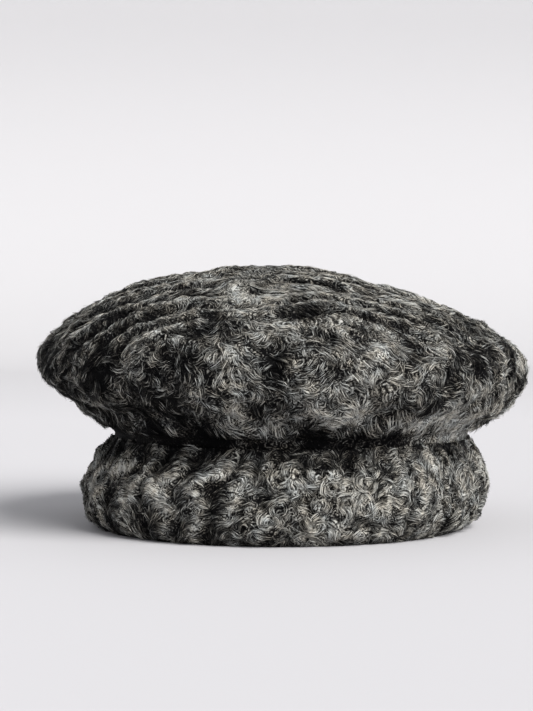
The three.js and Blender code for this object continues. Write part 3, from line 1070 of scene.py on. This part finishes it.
def make_wool():
    """The pieces of wool: the ridged top, the shoulder, the underside, and two layers on the cuff."""
    rng = np.random.default_rng(3)
    for seed, (name, inner, outer, count, slot_name, pile) in enumerate(CROWN_WOOL, 101):
        a, b = spread_over_ring(count, inner, outer, rng)
        piece = wool_piece(name, CROWN, a, b, pile, seed)
        finish_piece(piece, ())
    for seed, (name, count, low, high, near, far) in enumerate(CUFF_WOOL, 111):
        angle, up = spread_over_cuff(count, low, high, rng)
        angle = settle_on_curls(angle, up, near, far, rng)
        piece = wool_piece(name, CUFF_FACE, angle, up, CURL_PILE, seed)
        finish_piece(piece, ())


def make_pelts():
    """The three pelts, which stand for the three solids."""
    finish_piece(crown_top_pelt(), ("crown_top",))
    finish_piece(crown_side_pelt(), ("crown_side",))
    finish_piece(cuff_pelt(), ("cuff",))


# Studio


CAMERA_TILT = 1.5  # degrees below level
FLOOR_PAPER = (0.565, 0.56, 0.58, 1)
WALL_PAPER = (0.45, 0.447, 0.46, 1)


def make_camera():
    """The view of the photo: level with the crown, a little to the left of its middle."""
    data = bpy.data.cameras.new("camera")
    data.sensor_width = 36
    data.lens = 101.4
    camera = bpy.data.objects.new("camera", data)
    camera.location = (-0.008, -1.0990, 0.1211)
    camera.rotation_euler = (np.radians(90 - CAMERA_TILT), 0, 0)
    bpy.context.scene.collection.objects.link(camera)
    bpy.context.scene.camera = camera


def paper_material():
    """Pale paper, a little darker on the walls. The two walls that the key light doesn't reach glow
    a little, by how far to the right or to the front they stand, so that all are as pale."""
    material, tools = start_material("pale_paper")
    add, link, work_out = tools
    place = add("ShaderNodeTexCoord")
    away = add("ShaderNodeVectorMath", operation="LENGTH")
    link(place.outputs["Object"], away.inputs[0])
    depth = add("ShaderNodeMapRange", **{"From Min": 1.0, "From Max": 2.8})
    link(away.outputs["Value"], depth.inputs["Value"])
    mix = add("ShaderNodeMix", data_type="RGBA", A=FLOOR_PAPER, B=WALL_PAPER)
    link(depth.outputs["Result"], mix.inputs["Factor"])
    ways = add("ShaderNodeSeparateXYZ")
    link(place.outputs["Object"], ways.inputs[0])
    forward = work_out("MULTIPLY", ways.outputs["Y"], -1.0)
    shaded = work_out("MAXIMUM", ways.outputs["X"], forward)
    reach = {"From Min": 2.3, "From Max": 3.1, "To Max": 0.55}
    glow = add("ShaderNodeMapRange", interpolation_type="SMOOTHSTEP", **reach)
    link(shaded, glow.inputs["Value"])
    sockets = {"Roughness": 0.9, "Emission Color": (0.95, 0.95, 0.98, 1)}
    shader = finish_surface(tools, mix.outputs["Result"], **sockets)
    link(glow.outputs["Result"], shader.inputs["Emission Strength"])
    return material


def make_backdrop():
    """A pale floor that sweeps up all round into a low wall: a flat run, a quarter round and a rise,
    carried round the cap on a rounded square, where |x|^8 + |y|^8 is the same all the way."""
    flat, bend, top, columns = 2.4, 0.7, 1.0, 160
    flat_rings, power = 8, 8
    turn = np.linspace(0, np.pi / 2, 16)
    run = np.linspace(0.1, flat, flat_rings)
    radius = np.concatenate([run, flat + bend * np.sin(turn[1:]), [flat + bend]])
    z = np.concatenate([np.zeros(flat_rings), bend * (1 - np.cos(turn[1:])), [top]])
    angle = ring_angles(columns)
    square = (np.cos(angle) ** power + np.sin(angle) ** power) ** (-1 / power)
    flat_ring = np.stack([np.cos(angle) * square, np.sin(angle) * square, 0 * angle], -1)
    rings = radius[:, None, None] * flat_ring + z[:, None, None] * (0, 0, 1)
    points = np.concatenate([rings.reshape(-1, 3), np.zeros((1, 3))]) / MM
    quads = grid_faces(len(radius), columns)[:, [0, 3, 2, 1]]
    middle = fan_faces(len(points) - 1, 0, columns)
    make_mesh("backdrop", points, [quads, middle], [paper_material()])


def hang_light(name, kind, direction, power, colour):
    """A light of a kind that shines in a direction."""
    data = bpy.data.lights.new(name, kind)
    data.energy = power
    data.color = colour
    light = bpy.data.objects.new(name, data)
    light.rotation_euler = direction.to_track_quat("-Z", "Y").to_euler()
    bpy.context.scene.collection.objects.link(light)
    return light


def make_lights():
    """A soft key light high on the right, far enough off to light the floor evenly, a weak one from
    the left, and a pale room."""
    key = hang_light("key", "SUN", Vector((-0.8, 1.0, -0.9)), 5.0, (1, 0.985, 0.965))
    key.data.angle = 0.7
    place, middle = Vector((-0.9, -1.2, 0.5)), Vector((0, 0, 0.09))
    fill = hang_light("fill", "AREA", middle - place, 1.5, (0.95, 0.97, 1))
    fill.data.size = 1.2
    fill.location = place
    world = bpy.data.worlds.new("room")
    world.use_nodes = True
    background = world.node_tree.nodes["Background"]
    background.inputs["Color"].default_value = (0.95, 0.955, 0.98, 1)
    background.inputs["Strength"].default_value = 0.5
    bpy.context.scene.world = world
    bpy.context.scene.view_settings.view_transform = "Standard"


make_camera()
make_backdrop()
make_lights()
make_pelts()
make_wool()
